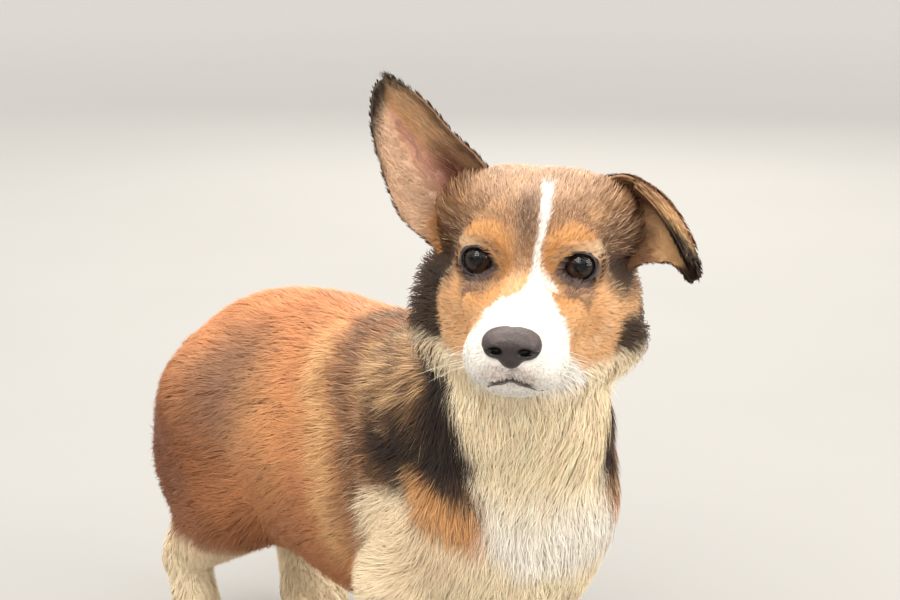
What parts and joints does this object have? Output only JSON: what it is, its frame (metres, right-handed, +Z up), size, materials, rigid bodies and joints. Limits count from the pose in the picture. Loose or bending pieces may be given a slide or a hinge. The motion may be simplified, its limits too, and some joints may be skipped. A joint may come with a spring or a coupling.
{
  "type": "corgi puppy figure",
  "caption": "Still, life-size Pembroke Welsh corgi puppy, standing with its head turned to its right, the right ear upright and the left ear folded over.",
  "frame": {"origin": "on the floor under the middle of the part's box", "axes": "+Z up from the floor; -Y is the way the dog's body points; -X is the dog's right side, to which its head is turned"},
  "size_m": [0.188, 0.4134, 0.3856],
  "materials": {
    "white_coat": "long soft cream-white fur",
    "red_coat": "short dense red-orange fur",
    "sable_coat": "short fur, orange tipped with black-brown",
    "nose": "moist, finely pebbled black-brown nose leather",
    "eye": "wet dark brown eye",
    "claw": "dark horn"
  },
  "bodies": {
    "root": {"nose": "nose", "eye_right": "eye", "eye_left": "eye", "head": "sable_coat", "ear_right": "sable_coat", "ear_left": "sable_coat", "claw_foreleg_right_1": "claw", "claw_foreleg_right_2": "claw", "claw_foreleg_right_3": "claw", "claw_foreleg_right_4": "claw", "paw_foreleg_right": "white_coat", "claw_foreleg_left_1": "claw", "claw_foreleg_left_2": "claw", "claw_foreleg_left_3": "claw", "claw_foreleg_left_4": "claw", "paw_foreleg_left": "white_coat", "claw_hindleg_right_1": "claw", "claw_hindleg_right_2": "claw", "claw_hindleg_right_3": "claw", "claw_hindleg_right_4": "claw", "paw_hindleg_right": "white_coat", "claw_hindleg_left_1": "claw", "claw_hindleg_left_2": "claw", "claw_hindleg_left_3": "claw", "claw_hindleg_left_4": "claw", "paw_hindleg_left": "white_coat", "tail": "red_coat", "neck": "white_coat", "chest": "white_coat", "rump": "red_coat", "hindleg_right": "red_coat", "hindleg_left": "red_coat", "barrel": "red_coat", "foreleg_right": "sable_coat", "foreleg_left": "sable_coat"}
  },
  "joints": []
}
